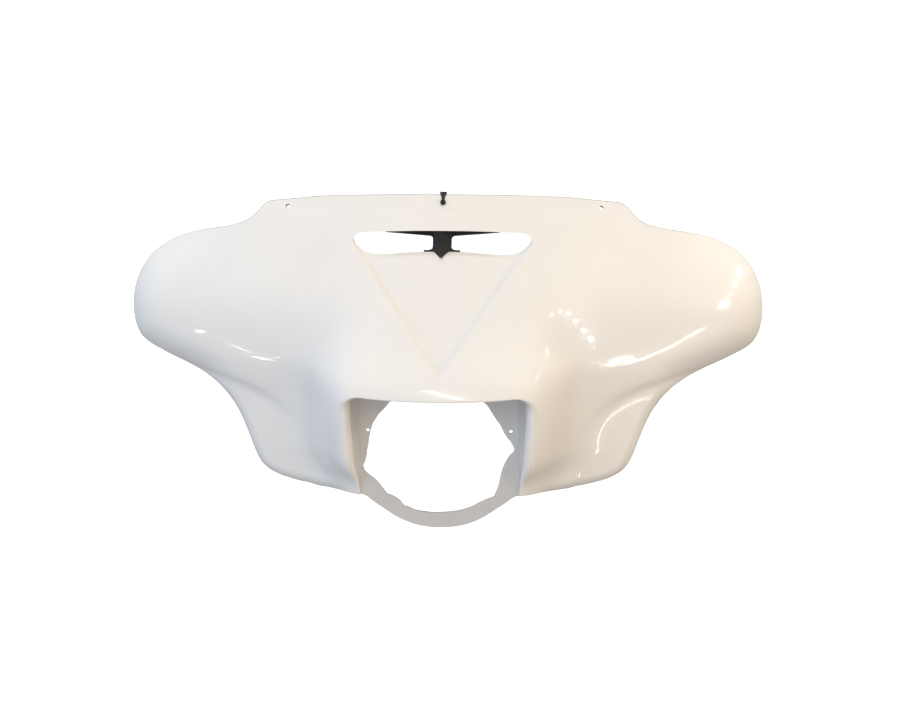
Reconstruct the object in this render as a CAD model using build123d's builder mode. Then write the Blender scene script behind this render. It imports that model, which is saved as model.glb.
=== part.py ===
"""Batwing outer fairing for a touring motorcycle: one moulded white shell with a hand-cut headlamp
opening, a vent with a black divider behind it, and the centre windshield screw and clip.

Millimetres, +Z up, +X to the photo's right, the nose faces -Y. The origin is the middle of the
headlamp opening on the front face of its plate. The skin is a height field y = skin(x, z)."""
import os

import numpy as np
from build123d import *

os.makedirs("parts", exist_ok=True)

# ---------------------------------------------------------------- driving dimensions
wall_t = 3.2                    # moulded wall
nose_y = -75.0                  # foremost line of the brow, ahead of the headlamp plate
skin_back = 560.0               # plane behind everything
# heights the skin's sections are drawn through: closer together at the windshield flange
section_z = np.concatenate([np.linspace(-140.0, 276.0, 56), np.linspace(280.0, 302.0, 9), np.linspace(308.0, 335.0, 4)])
# sections of the skin, across: close together where it bends most
skin_half_x = [0, 14, 28, 42, 56, 70, 82, 92, 100, 107, 113, 119, 125, 131, 137, 143, 150, 158, 168, 180, 195, 212,
               230, 250, 270, 292, 314, 336, 356, 374, 390, 402, 412, 420, 427, 433, 438, 444, 455]
crown_sweep = 1500.0            # the deck bends back by x*x / crown_sweep
flank_x = 120.0                 # half width of the nose
face_depth = 95.0               # wing face behind the nose line, at the middle
face_sweep = 0.00058
leg_depth = 30.0                # the legs lie this far behind the wing face
ramp_depth, ramp_bevel = 7.0, 11.0
ramp_apex_z, ramp_slope = 103.4, 0.76
step_depth = 2.4                # windshield flange lies this far behind the deck
rim_wing, rim_leg = 28.0, 9.0   # how far the edge rolls back
rim_wing_r, rim_leg_r = 48.0, 14.0
foot_depth = 26.0               # the nose falls back to the headlamp plate by this at its foot

plate_half_w, plate_top = 104.0, 89.0      # headlamp recess at the plate
recess_flare, recess_ceiling = 0.30, 0.236  # recess side and ceiling slope
recess_corner_r = 24.0
lamp_screw_x, lamp_screw_z, lamp_screw_r = 93.6, 18.8, 2.4
dimple_x, dimple_z, dimple_r, dimple_deep = 89.6, -35.2, 2.0, 0.9

shield_hole_r = 2.8
shield_side_x, shield_side_z = 210.5, 295.6
shield_mid_z = 304.2
shield_side_dir = (0.23805, -0.79812, 0.55347)   # out of the flange at the right-hand hole
deck_slope = 0.735              # dy/dz of the deck
lip_len, lip_rise = 11.0, 0.375  # vent lip: length and rise of its direction

boss_r, boss_hole_r, insert_r, insert_len = 8.0, 4.2, 4.2, 12.0
insert_bore_r = 2.5
boss_x = (180.0, 215.0)
boss_z = (226.0, 4.0)
boss_end_y = (108.0, 96.0)

lip_t = 2.6
divider_n, divider_t = -13.5, 3.0          # divider plate: front face behind the deck, thickness
wedge_n, wedge_half_w = -2.0, 12.5         # wedge: nose behind the deck line, half width at the plate
divider_screw_u = (40.0, -29.0)            # along the deck from the slot's middle
divider_boss_r, divider_screw_r, divider_screw_deep = 4.6, 1.5, 6.0
divider_head_r, divider_head_t = 3.2, 2.2
divider_fillet = 5.0
# divider plate: x across, u up along the deck
divider_plate = [(-7.0, -35.0), (7.0, -35.0), (24.0, -18.0), (24.0, -1.5), (12.5, -1.0), (12.5, 20.5), (76.0, 26.0),
                 (76.0, 27.0), (9.0, 46.0), (-9.0, 46.0), (-76.0, 27.0), (-76.0, 26.0), (-12.5, 20.5), (-12.5, -1.0),
                 (-24.0, -1.5), (-24.0, -18.0)]
clip_t, clip_w, clip_neck_w, clip_pad_r = 0.8, 9.0, 4.0, 3.6
shield_screw_r, shield_screw_len = 2.4, 14.0
shield_head_r, shield_head_t = 3.5, 2.4

nib_x, nib_half_w, nib_h, nib_t = -25.8, 3.8, 2.8, 2.4   # small moulding nib on the top edge

# outline of the shell seen along Y: right half, bottom middle round to top middle
outline_half = [
    (0.0, -112.5), (11.0, -112.0), (22.0, -110.8), (32.7, -108.3), (43.1, -104.7), (53.2, -100.2),
    (62.6, -94.6), (71.7, -88.3), (80.8, -82.0), (89.8, -75.5), (98.6, -68.9), (107.9, -67.5),
    (118.3, -67.8), (129.0, -69.7), (139.3, -73.8), (149.6, -76.3), (160.2, -77.7), (171.1, -77.8),
    (182.1, -76.0), (193.4, -75.0), (204.3, -73.2), (215.1, -71.1), (225.7, -68.1), (235.8, -63.9),
    (244.9, -57.7), (251.9, -49.2), (256.8, -39.4), (260.9, -29.0), (264.6, -18.5), (268.7, -8.2),
    (272.8, 2.0), (277.3, 12.0), (282.6, 21.7), (288.7, 30.8), (295.5, 39.5), (303.2, 47.3),
    (311.9, 54.3), (321.3, 59.9), (331.1, 65.1), (341.0, 69.5), (351.0, 73.7), (360.8, 77.9),
    (370.7, 82.0), (380.7, 86.0), (390.6, 90.3), (400.6, 94.7), (410.4, 99.5), (419.4, 105.6),
    (426.2, 113.9), (430.3, 123.8), (432.7, 134.3), (433.8, 145.1), (434.0, 156.0), (433.3, 166.8),
    (431.4, 177.5), (428.4, 188.0), (424.4, 198.1), (419.1, 207.6), (412.3, 216.2), (404.8, 224.1),
    (396.2, 230.8), (386.7, 236.7), (376.8, 242.2), (366.5, 247.1), (355.5, 251.3), (344.3, 254.9),
    (333.1, 258.1), (321.9, 260.9), (310.9, 263.3), (300.0, 265.3), (289.4, 267.7), (279.1, 270.8),
    (269.0, 274.6), (259.9, 280.2), (252.5, 286.8), (246.7, 293.6), (240.2, 298.9), (231.4, 301.4),
    (220.6, 302.6), (209.6, 304.0), (198.6, 305.4), (187.7, 306.7), (176.7, 308.0), (165.7, 309.2),
    (154.7, 310.0), (143.7, 310.5), (132.7, 311.0), (121.6, 311.6), (110.6, 312.1), (99.6, 312.5),
    (88.5, 312.8), (77.5, 313.1), (66.4, 313.4), (55.4, 313.6), (44.4, 313.8), (33.3, 313.9),
    (22.3, 314.0), (11.3, 314.0), (0.0, 314.0)]

# vent slot seen along Y: right half, bottom middle round to top middle
slot_half = [(0.0, 240.4), (52.0, 238.7), (88.6, 237.0), (101.2, 239.5), (110.6, 246.2),
             (117.3, 257.2), (114.8, 262.9), (109.0, 265.9), (92.0, 267.7), (60.0, 269.0), (0.0, 270.0)]

# headlamp opening, cut by hand: all round, seen along Y
lamp_cut = [
    (-73.5, 46.5), (-78.8, 41.1), (-82.8, 35.0), (-86.1, 29.5), (-88.4, 23.4), (-90.2, 17.3), (-91.8, 9.8),
    (-92.9, 3.0), (-94.1, -3.8), (-94.8, -7.9), (-96.1, -17.5), (-97.9, -24.3), (-100.7, -29.8), (-98.0, -36.6),
    (-94.1, -40.7), (-88.9, -44.7), (-84.3, -48.1), (-79.7, -52.9), (-76.5, -57.6), (-71.9, -63.8), (-68.0, -68.5),
    (-64.0, -68.9), (-58.7, -71.8), (-52.2, -76.6), (-48.9, -81.1), (-46.3, -83.8), (-41.7, -85.4), (-36.4, -87.4),
    (-32.4, -89.4), (-25.8, -90.7), (-12.6, -92.3), (0.6, -92.4), (13.9, -91.5), (27.1, -89.2), (40.3, -84.9),
    (50.8, -79.2), (60.0, -74.3), (66.6, -71.9), (71.8, -69.6), (75.7, -60.3), (78.3, -50.7), (80.2, -41.1),
    (82.1, -32.9), (85.4, -24.7), (89.9, -16.4), (93.8, -11.6), (97.0, -8.2), (98.0, -5.5), (96.3, -0.1),
    (93.0, 5.3), (89.1, 10.0), (85.8, 14.7), (82.5, 21.4), (79.2, 28.1), (75.3, 33.5), (71.3, 39.5),
    (66.1, 48.1), (62.2, 54.1), (46.0, 69.5), (22.0, 80.0), (-3.0, 83.5), (-28.0, 80.0), (-52.0, 69.0),
    (-66.0, 55.5)]


# ---------------------------------------------------------------- the skin
def smax(a, b, k):
    return 0.5 * (a + b + np.sqrt((a - b) ** 2 + k * k))


def smin(a, b, k):
    return 0.5 * (a + b - np.sqrt((a - b) ** 2 + k * k))


def ease(t):
    t = np.clip(t, 0.0, 1.0)
    return t * t * t * (t * (6 * t - 15) + 10)


def soft(t, s):
    return s * np.logaddexp(0.0, t / s)


loop = np.array(outline_half + [(-x, z) for x, z in outline_half[-2:0:-1]])


def edge_distance(x, z):
    """Distance inside the outline, negative outside."""
    p = np.stack([x, z], -1)[..., None, :]
    a, b = loop, np.roll(loop, -1, 0)
    ab = b - a
    t = np.clip(((p - a) * ab).sum(-1) / (ab * ab).sum(-1), 0, 1)
    d = np.sqrt((((p - a) - ab * t[..., None]) ** 2).sum(-1)).min(-1)
    za, zb, xa, xb = a[:, 1], b[:, 1], a[:, 0], b[:, 0]
    px, pz = p[..., 0], p[..., 1]
    with np.errstate(divide="ignore", invalid="ignore"):
        cross = ((za > pz) != (zb > pz)) & (px < (xb - xa) * (pz - za) / (zb - za) + xa)
    inside = cross.sum(-1) % 2 == 1
    return np.where(inside, d, -d)


def centre(z):
    return 0.735 * soft(z - 78.0, 11.0) + 9.0 * ease((z - 80.0) / 60.0) + 0.30 * soft(48.0 - z, 16.0) \
        + foot_depth * ease((-8.0 - z) / 58.0)


def skin(x, z):
    ax = np.abs(x)
    deck = centre(z) + ax * ax / crown_sweep
    half_w = flank_x + 0.006 * np.maximum(z - 140.0, 0.0) ** 2
    flank = centre(z) + 8.0 + (ax - half_w) * (1.55 + 0.5 * ease((130.0 - z) / 90.0))
    face = face_depth + face_sweep * ax * ax + (z - 185.0) ** 2 / 800.0
    fall = np.exp(-(np.minimum(ax, 420.0) - 157.0) / 71.0)
    slope = 122.0 / 71.0 * fall
    below = np.clip((88.0 - 122.0 * fall - z) / np.sqrt(1 + slope * slope), -80.0, 200.0)
    wing = smax(face, face + 1.9 * below, 12.0)
    leg = face_depth + face_sweep * ax * ax + leg_depth
    g = smax(deck, smin(flank, smin(wing, leg, 14.0), 40.0), 30.0)
    g = smin(g, 73.0 + 2.4 * soft(ax - 110.0, 3.0) + 6.0 * np.maximum(z + 20.0, 0.0), 4.0)
    inside_v = (ramp_slope * (z - ramp_apex_z) - ax) / np.hypot(1.0, ramp_slope)
    g = g + ramp_depth * ease(inside_v / ramp_bevel + 0.5) * (1 - ease((z - 244.0) / 18.0))
    step_z = 293.6 - 6.6 * (ax / 238.0) ** 2
    g = g + step_depth * ease((z - step_z) / 3.4 + 0.5) * (1 - ease((ax - 226.0) / 16.0))
    s = edge_distance(x, z)
    up = ease((z - 40.0) / 55.0)
    amount = (rim_leg + (rim_wing - rim_leg) * up) * np.where(z > 150.0, ease((ax - 285.0) / 120.0), ease((ax - 118.0) / 30.0))
    reach = rim_leg_r + (rim_wing_r - rim_leg_r) * up
    q = np.clip(1.0 - s / reach, 0.0, None)
    roll = np.where(q < 1.2, q ** 2.2, 1.2 ** 2.2 + 2.2 * 1.2 ** 1.2 * (q - 1.2))
    return nose_y + g + amount * np.minimum(roll, 3.0)


def inner(x, z):
    """The skin set back by the wall: a ball of the wall's thickness rolled behind it."""
    y = skin(x, z) + wall_t
    for r in (0.35, 0.65, 0.87, 0.98):
        h = wall_t * np.sqrt(1 - r * r)
        for a in np.arange(12) * np.pi / 6:
            y = np.maximum(y, skin(x + wall_t * r * np.cos(a), z + wall_t * r * np.sin(a)) + h)
    return y


section_x = [-float(x) for x in skin_half_x[:0:-1]] + [float(x) for x in skin_half_x]

# ---------------------------------------------------------------- everything behind the skin, and behind the wall
skin_bodies = []
for field in (skin, inner):
    with BuildPart() as skin_body:
        for x in section_x:
            line = [(float(y), float(z)) for y, z in zip(field(np.full(len(section_z), x), section_z), section_z)]
            with BuildSketch(Plane.YZ.offset(x)):
                with BuildLine():
                    Spline(*line)
                    Polyline(line[-1], (skin_back, line[-1][1]), (skin_back, line[0][1]), line[0])
                make_face()
        loft(ruled=True)
    skin_bodies.append(skin_body.part)
behind_skin, behind_wall = skin_bodies

lip = Vector(0, 1, lip_rise).normalized()
out_dir = Vector(0, -1, deck_slope).normalized()     # out of the deck
up_dir = Vector(0, deck_slope, 1).normalized()       # up along the deck


def at(x, z):
    return float(skin(np.array(float(x)), np.array(float(z))))


def recess_profile(y, grow):
    """Half width and top of the headlamp recess at depth y."""
    return plate_half_w - recess_flare * y + grow, plate_top + recess_ceiling * y + grow


# ---------------------------------------------------------------- headlamp recess, inside and outside
recess_front, recess_foot = -112.0, -150.0
recess_blocks = []
for grow, back in ((0.0, 0.0), (wall_t * 1.05, wall_t)):
    with BuildPart() as recess:
        for y in (recess_front, back):
            w, top = recess_profile(y, grow)
            with BuildSketch(Plane.XZ.offset(-y)):
                with BuildLine():
                    Polyline((-w, recess_foot), (w, recess_foot), (w, top), (-w, top), close=True)
                make_face()
                fillet(vertices().sort_by(Axis.Y)[-2:], recess_corner_r)
        loft(ruled=True)
    recess_blocks.append(recess.part)
recess_inside, recess_outside = recess_blocks

# ---------------------------------------------------------------- the hollow behind the wall
with BuildPart() as hollow:
    add(behind_wall)
    add(recess_outside, mode=Mode.SUBTRACT)

# ---------------------------------------------------------------- vent: the slot and its turned-in lip
slot_y = 30.0                   # plane the slot is drawn on, ahead of the deck
slot_reach = 120.0
slot_loop = slot_half + [(-x, z) for x, z in slot_half[-2:0:-1]]
slot_drawn = [(x, z - (at(x, z) - slot_y) * lip_rise) for x, z in slot_loop]
divider_gap = 0.4


def grown(points, by):
    """A closed loop, anticlockwise, moved outwards along its normals."""
    p = np.array(points)
    run = np.roll(p, -1, 0) - np.roll(p, 1, 0)
    run = run / np.linalg.norm(run, axis=1)[:, None]
    q = p + by * np.stack([run[:, 1], -run[:, 0]], 1)
    return [(float(x), float(z)) for x, z in q]


with BuildPart() as slot:
    with BuildSketch(Plane.XZ.offset(-slot_y)):
        with BuildLine():
            Spline(*slot_drawn, periodic=True)
        make_face()
    extrude(amount=slot_reach, dir=(0, lip.Y, lip.Z))

with BuildPart() as slot_room:
    with BuildSketch(Plane.XZ.offset(-slot_y)):
        with BuildLine():
            Spline(*grown(slot_drawn, -divider_gap), periodic=True)
        make_face()
    extrude(amount=slot_reach, dir=(0, lip.Y, lip.Z))

with BuildPart() as vent_lip:
    with BuildSketch(Plane.XZ.offset(-slot_y)):
        with BuildLine():
            Spline(*grown(slot_drawn, lip_t), periodic=True)
        make_face()
    extrude(amount=slot_reach, dir=(0, lip.Y, lip.Z))
    add(behind_skin, mode=Mode.INTERSECT)
    add(behind_skin.moved(Location(lip * lip_len)), mode=Mode.SUBTRACT)

# ---------------------------------------------------------------- bosses on the back
deck_mid = Vector(0, nose_y + float(centre(255.0)), 255.0)


def deck_plane(u, n):
    """A plane on the deck's middle line: u up along it, n out of it."""
    return Plane(origin=deck_mid + up_dir * u + out_dir * n, x_dir=(1, 0, 0), z_dir=out_dir)


with BuildPart() as bosses:
    for x, z, y_end in zip(boss_x, boss_z, boss_end_y):
        for side in (1, -1):
            start = at(x, z) - 14.0
            with BuildSketch(Plane.XZ.offset(-start)):
                with Locations((side * x, z)):
                    Circle(boss_r)
            extrude(amount=-(y_end - start))
    for u in divider_screw_u:
        with BuildSketch(deck_plane(u, divider_n)):
            Circle(divider_boss_r)
        extrude(amount=-divider_n + 4.0)
    add(behind_skin, mode=Mode.INTERSECT)

# ---------------------------------------------------------------- the shell
with BuildPart() as fairing_shell:
    add(behind_skin)
    with BuildSketch(Plane.XZ.offset(160.0)):
        with BuildLine():
            Spline(*[tuple(p) for p in loop], periodic=True)
        make_face()
    extrude(amount=-640.0, mode=Mode.INTERSECT)
    add(hollow.part, mode=Mode.SUBTRACT)
    add(recess_inside, mode=Mode.SUBTRACT)
    add(vent_lip.part)
    add(bosses.part)
    nib_y = at(nib_x, 313.0) + 0.5
    with BuildSketch(Plane.XZ.offset(-nib_y)):
        with BuildLine():
            Polyline((nib_x - nib_half_w, 312.0), (nib_x + nib_half_w, 312.0), (nib_x + 1.0, 314.0 + nib_h),
                     (nib_x - 1.0, 314.0 + nib_h), close=True)
        make_face()
    extrude(amount=-nib_t)
    add(slot.part, mode=Mode.SUBTRACT)
    # headlamp opening and its screw holes, through the plate
    with BuildSketch(Plane.XZ.offset(4.0)):
        with BuildLine():
            Polyline(*lamp_cut, close=True)
        make_face()
        with Locations((lamp_screw_x, lamp_screw_z), (-lamp_screw_x, lamp_screw_z)):
            Circle(lamp_screw_r)
    extrude(amount=-14.0, mode=Mode.SUBTRACT)
    with BuildSketch(Plane.XZ.offset(2.0)):
        with Locations((dimple_x, dimple_z)):
            Circle(dimple_r)
    extrude(amount=-(2.0 + dimple_deep), mode=Mode.SUBTRACT)
    # windshield holes, square to the flange
    for x, z, nx in ((0.0, shield_mid_z, 0.0), (shield_side_x, shield_side_z, 1.0), (-shield_side_x, shield_side_z, -1.0)):
        drill = Vector(nx * shield_side_dir[0], shield_side_dir[1], shield_side_dir[2]) if nx else out_dir
        with BuildSketch(Plane(origin=Vector(x, at(x, z), z) + drill * 12.0, z_dir=drill)):
            Circle(shield_hole_r)
        extrude(amount=-26.0, mode=Mode.SUBTRACT)
    # holes in the bosses
    for x, z, y_end in zip(boss_x, boss_z, boss_end_y):
        for side in (1, -1):
            with BuildSketch(Plane.XZ.offset(-(y_end - insert_len - 2.0))):
                with Locations((side * x, z)):
                    Circle(boss_hole_r)
            extrude(amount=-(insert_len + 12.0), mode=Mode.SUBTRACT)
    for u in divider_screw_u:
        with BuildSketch(deck_plane(u, divider_n - 4.0)):
            Circle(divider_screw_r)
        extrude(amount=4.0 + divider_screw_deep, mode=Mode.SUBTRACT)
fairing_shell.part.label = "fairing_shell"

# ---------------------------------------------------------------- vent divider
with BuildPart() as vent_divider:
    # the wedge that stands in the slot
    with BuildSketch(Plane(origin=deck_mid - up_dir * 45.0, x_dir=(1, 0, 0), z_dir=up_dir)):
        with BuildLine():
            Polyline((-wedge_half_w, -divider_n), (0.0, -wedge_n), (wedge_half_w, -divider_n), close=True)
        make_face()
    extrude(amount=90.0)
    add(slot_room.part, mode=Mode.INTERSECT)
    # the plate behind it
    with BuildSketch(deck_plane(0.0, divider_n)):
        with BuildLine():
            Polyline(*divider_plate, close=True)
        make_face()
        fillet(vertices().filter_by(lambda v: abs(v.X) < 13.5 and abs(v.Y) < 40), divider_fillet)
    extrude(amount=-divider_t)
    for u in divider_screw_u:
        with BuildSketch(deck_plane(u, divider_n + 1.0)):
            Circle(divider_screw_r + 0.2)
        extrude(amount=-(divider_t + 2.0), mode=Mode.SUBTRACT)
vent_divider.part.label = "vent_divider"

with BuildPart() as divider_screws:
    for u in divider_screw_u:
        with BuildSketch(deck_plane(u, divider_n - divider_t)):
            Circle(divider_head_r)
        extrude(amount=-divider_head_t)
        with BuildSketch(deck_plane(u, divider_n - divider_t)):
            Circle(divider_screw_r)
        extrude(amount=divider_t + divider_screw_deep - 0.4)
divider_screws.part.label = "divider_screws"

# ---------------------------------------------------------------- windshield screw and its clip
flange_mid = Vector(0, at(0, shield_mid_z), shield_mid_z)


def flange_plane(u, n):
    return Plane(origin=flange_mid + up_dir * u + out_dir * n, x_dir=(1, 0, 0), z_dir=out_dir)


edge_u = (314.0 - shield_mid_z) / up_dir.Z           # top edge of the flange above the hole
clip_front, clip_back = 0.4, -(wall_t + 0.5)
clip_top = edge_u + 3.4
with BuildPart() as windshield_clip:
    with BuildSketch(flange_plane(0.0, clip_front)):
        Circle(clip_pad_r)
        with BuildLine():
            Polyline((-clip_neck_w / 2, 0), (clip_neck_w / 2, 0), (clip_neck_w / 2, 7.0), (clip_w / 2, clip_top),
                     (-clip_w / 2, clip_top), (-clip_neck_w / 2, 7.0), close=True)
        make_face()
        Circle(shield_hole_r, mode=Mode.SUBTRACT)
    extrude(amount=clip_t)
    with BuildSketch(flange_plane(clip_top, clip_front + clip_t)):
        with Locations((0, clip_t / 2)):
            Rectangle(clip_w, clip_t)
    extrude(amount=-(clip_front + 2 * clip_t - clip_back))
    with BuildSketch(flange_plane(0.0, clip_back)):
        with BuildLine():
            Polyline((-clip_w / 2, -7.0), (clip_w / 2, -7.0), (clip_w / 2, clip_top), (-clip_w / 2, clip_top), close=True)
        make_face()
        Circle(shield_screw_r, mode=Mode.SUBTRACT)
    extrude(amount=-clip_t)
windshield_clip.part.label = "windshield_clip"

with BuildPart() as windshield_screw:
    with BuildSketch(flange_plane(0.0, clip_front + clip_t)):
        Circle(shield_head_r)
    extrude(amount=shield_head_t)
    fillet(edges().group_by(lambda e: (e.center() - flange_mid).dot(out_dir))[-1], 0.9)
    with BuildSketch(flange_plane(0.0, clip_front + clip_t)):
        Circle(shield_screw_r)
    extrude(amount=-shield_screw_len)
windshield_screw.part.label = "windshield_screw"

# ---------------------------------------------------------------- threaded inserts in the bosses
with BuildPart() as threaded_inserts:
    for x, z, y_end in zip(boss_x, boss_z, boss_end_y):
        for side in (1, -1):
            with BuildSketch(Plane.XZ.offset(-(y_end - insert_len))):
                with Locations((side * x, z)):
                    Circle(insert_r)
                    Circle(insert_bore_r, mode=Mode.SUBTRACT)
            extrude(amount=-insert_len)
threaded_inserts.part.label = "threaded_inserts"

export_step(fairing_shell.part, "parts/fairing_shell.step")
export_step(vent_divider.part, "parts/vent_divider.step")
export_step(divider_screws.part, "parts/divider_screws.step")
export_step(windshield_clip.part, "parts/windshield_clip.step")
export_step(windshield_screw.part, "parts/windshield_screw.step")
export_step(threaded_inserts.part, "parts/threaded_inserts.step")
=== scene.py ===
import math
import bpy
import numpy as np
from mathutils import Matrix, Vector
from mathutils.geometry import delaunay_2d_cdt


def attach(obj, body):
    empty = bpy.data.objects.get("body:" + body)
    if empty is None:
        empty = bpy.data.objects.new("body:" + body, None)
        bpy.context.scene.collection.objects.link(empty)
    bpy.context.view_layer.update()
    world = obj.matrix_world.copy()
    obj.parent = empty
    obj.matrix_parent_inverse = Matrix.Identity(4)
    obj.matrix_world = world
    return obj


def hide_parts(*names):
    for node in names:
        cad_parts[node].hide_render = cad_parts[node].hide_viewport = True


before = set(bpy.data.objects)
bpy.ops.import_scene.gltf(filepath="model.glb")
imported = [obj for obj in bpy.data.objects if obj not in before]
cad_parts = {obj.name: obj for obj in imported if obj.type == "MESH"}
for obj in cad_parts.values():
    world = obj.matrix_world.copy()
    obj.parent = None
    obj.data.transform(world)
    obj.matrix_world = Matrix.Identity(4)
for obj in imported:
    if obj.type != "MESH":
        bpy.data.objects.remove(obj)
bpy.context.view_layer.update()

MM = 0.001

# =====================================================================================================
# the skin: the same height field as the CAD, in millimetres, y = skin(x, z)
# =====================================================================================================
wall_t = 3.2
nose_y = -75.0
crown_sweep, flank_x = 1500.0, 120.0
face_depth, face_sweep, leg_depth = 95.0, 0.00058, 30.0
ramp_depth, ramp_bevel, ramp_apex_z, ramp_slope = 7.0, 11.0, 103.4, 0.76
step_depth = 2.4
rim_wing, rim_leg, rim_wing_r, rim_leg_r = 28.0, 9.0, 48.0, 14.0
foot_depth = 26.0
plate_half_w, plate_top = 104.0, 89.0
recess_flare, recess_ceiling, recess_corner_r = 0.30, 0.236, 24.0
lamp_screw_x, lamp_screw_z, lamp_screw_r = 93.6, 18.8, 2.4
dimple = (89.6, -35.2, 2.0, 0.9)
shield_hole_r = 2.8
shield_holes = [(0.0, 304.2), (210.5, 295.6), (-210.5, 295.6)]
deck_slope = 0.735
lip_len, lip_rise, lip_t = 11.0, 0.375, 2.6
boss_r, boss_hole_r = 8.0, 4.2
boss_x, boss_z, boss_end_y, boss_hole_deep = (180.0, 215.0), (226.0, 4.0), (108.0, 96.0), 14.0
divider_n, divider_screw_u, divider_boss_r, divider_screw_r, divider_screw_deep = -13.5, (40.0, -29.0), 4.6, 1.5, 6.0

outline_half = [
    (0.0, -112.5), (11.0, -112.0), (22.0, -110.8), (32.7, -108.3), (43.1, -104.7), (53.2, -100.2),
    (62.6, -94.6), (71.7, -88.3), (80.8, -82.0), (89.8, -75.5), (98.6, -68.9), (107.9, -67.5),
    (118.3, -67.8), (129.0, -69.7), (139.3, -73.8), (149.6, -76.3), (160.2, -77.7), (171.1, -77.8),
    (182.1, -76.0), (193.4, -75.0), (204.3, -73.2), (215.1, -71.1), (225.7, -68.1), (235.8, -63.9),
    (244.9, -57.7), (251.9, -49.2), (256.8, -39.4), (260.9, -29.0), (264.6, -18.5), (268.7, -8.2),
    (272.8, 2.0), (277.3, 12.0), (282.6, 21.7), (288.7, 30.8), (295.5, 39.5), (303.2, 47.3),
    (311.9, 54.3), (321.3, 59.9), (331.1, 65.1), (341.0, 69.5), (351.0, 73.7), (360.8, 77.9),
    (370.7, 82.0), (380.7, 86.0), (390.6, 90.3), (400.6, 94.7), (410.4, 99.5), (419.4, 105.6),
    (426.2, 113.9), (430.3, 123.8), (432.7, 134.3), (433.8, 145.1), (434.0, 156.0), (433.3, 166.8),
    (431.4, 177.5), (428.4, 188.0), (424.4, 198.1), (419.1, 207.6), (412.3, 216.2), (404.8, 224.1),
    (396.2, 230.8), (386.7, 236.7), (376.8, 242.2), (366.5, 247.1), (355.5, 251.3), (344.3, 254.9),
    (333.1, 258.1), (321.9, 260.9), (310.9, 263.3), (300.0, 265.3), (289.4, 267.7), (279.1, 270.8),
    (269.0, 274.6), (259.9, 280.2), (252.5, 286.8), (246.7, 293.6), (240.2, 298.9), (231.4, 301.4),
    (220.6, 302.6), (209.6, 304.0), (198.6, 305.4), (187.7, 306.7), (176.7, 308.0), (165.7, 309.2),
    (154.7, 310.0), (143.7, 310.5), (132.7, 311.0), (121.6, 311.6), (110.6, 312.1), (99.6, 312.5),
    (88.5, 312.8), (77.5, 313.1), (66.4, 313.4), (55.4, 313.6), (44.4, 313.8), (33.3, 313.9),
    (22.3, 314.0), (11.3, 314.0), (0.0, 314.0)]
slot_half = [(0.0, 240.4), (52.0, 238.7), (88.6, 237.0), (101.2, 239.5), (110.6, 246.2),
             (117.3, 257.2), (114.8, 262.9), (109.0, 265.9), (92.0, 267.7), (60.0, 269.0), (0.0, 270.0)]
lamp_cut = [
    (-73.5, 46.5), (-78.8, 41.1), (-82.8, 35.0), (-86.1, 29.5), (-88.4, 23.4), (-90.2, 17.3), (-91.8, 9.8),
    (-92.9, 3.0), (-94.1, -3.8), (-94.8, -7.9), (-96.1, -17.5), (-97.9, -24.3), (-100.7, -29.8), (-98.0, -36.6),
    (-94.1, -40.7), (-88.9, -44.7), (-84.3, -48.1), (-79.7, -52.9), (-76.5, -57.6), (-71.9, -63.8), (-68.0, -68.5),
    (-64.0, -68.9), (-58.7, -71.8), (-52.2, -76.6), (-48.9, -81.1), (-46.3, -83.8), (-41.7, -85.4), (-36.4, -87.4),
    (-32.4, -89.4), (-25.8, -90.7), (-12.6, -92.3), (0.6, -92.4), (13.9, -91.5), (27.1, -89.2), (40.3, -84.9),
    (50.8, -79.2), (60.0, -74.3), (66.6, -71.9), (71.8, -69.6), (75.7, -60.3), (78.3, -50.7), (80.2, -41.1),
    (82.1, -32.9), (85.4, -24.7), (89.9, -16.4), (93.8, -11.6), (97.0, -8.2), (98.0, -5.5), (96.3, -0.1),
    (93.0, 5.3), (89.1, 10.0), (85.8, 14.7), (82.5, 21.4), (79.2, 28.1), (75.3, 33.5), (71.3, 39.5),
    (66.1, 48.1), (62.2, 54.1), (46.0, 69.5), (22.0, 80.0), (-3.0, 83.5), (-28.0, 80.0), (-52.0, 69.0),
    (-66.0, 55.5)]


def smax(a, b, k):
    return 0.5 * (a + b + np.sqrt((a - b) ** 2 + k * k))


def smin(a, b, k):
    return 0.5 * (a + b - np.sqrt((a - b) ** 2 + k * k))


def ease(t):
    t = np.clip(t, 0.0, 1.0)
    return t * t * t * (t * (6 * t - 15) + 10)


def soft(t, s):
    return s * np.logaddexp(0.0, t / s)


def closed_spline(points, step):
    """Closed cubic spline through the points, sampled at about this spacing."""
    p = np.array(points, float)
    n = len(p)
    h = np.linalg.norm(np.roll(p, -1, 0) - p, axis=1)
    hp = np.roll(h, 1)
    a = np.zeros((n, n))
    rhs = np.zeros((n, 2))
    for i in range(n):
        j, k = (i - 1) % n, (i + 1) % n
        a[i, j] += hp[i]
        a[i, i] += 2 * (hp[i] + h[i])
        a[i, k] += h[i]
        rhs[i] = 6 * ((p[k] - p[i]) / h[i] - (p[i] - p[j]) / hp[i])
    m = np.linalg.solve(a, rhs)
    out = []
    for i in range(n):
        k = (i + 1) % n
        c = max(1, int(round(h[i] / step)))
        t = (np.arange(c) / c)[:, None] * h[i]
        u = h[i] - t
        out.append(m[i] * u ** 3 / (6 * h[i]) + m[k] * t ** 3 / (6 * h[i])
                   + (p[i] / h[i] - m[i] * h[i] / 6) * u + (p[k] / h[i] - m[k] * h[i] / 6) * t)
    return np.concatenate(out)


def mirrored(half):
    return half + [(-x, z) for x, z in half[-2:0:-1]]


rim_loop = closed_spline(mirrored(outline_half), 2.4)      # fine outline, anticlockwise from the bottom middle


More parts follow.
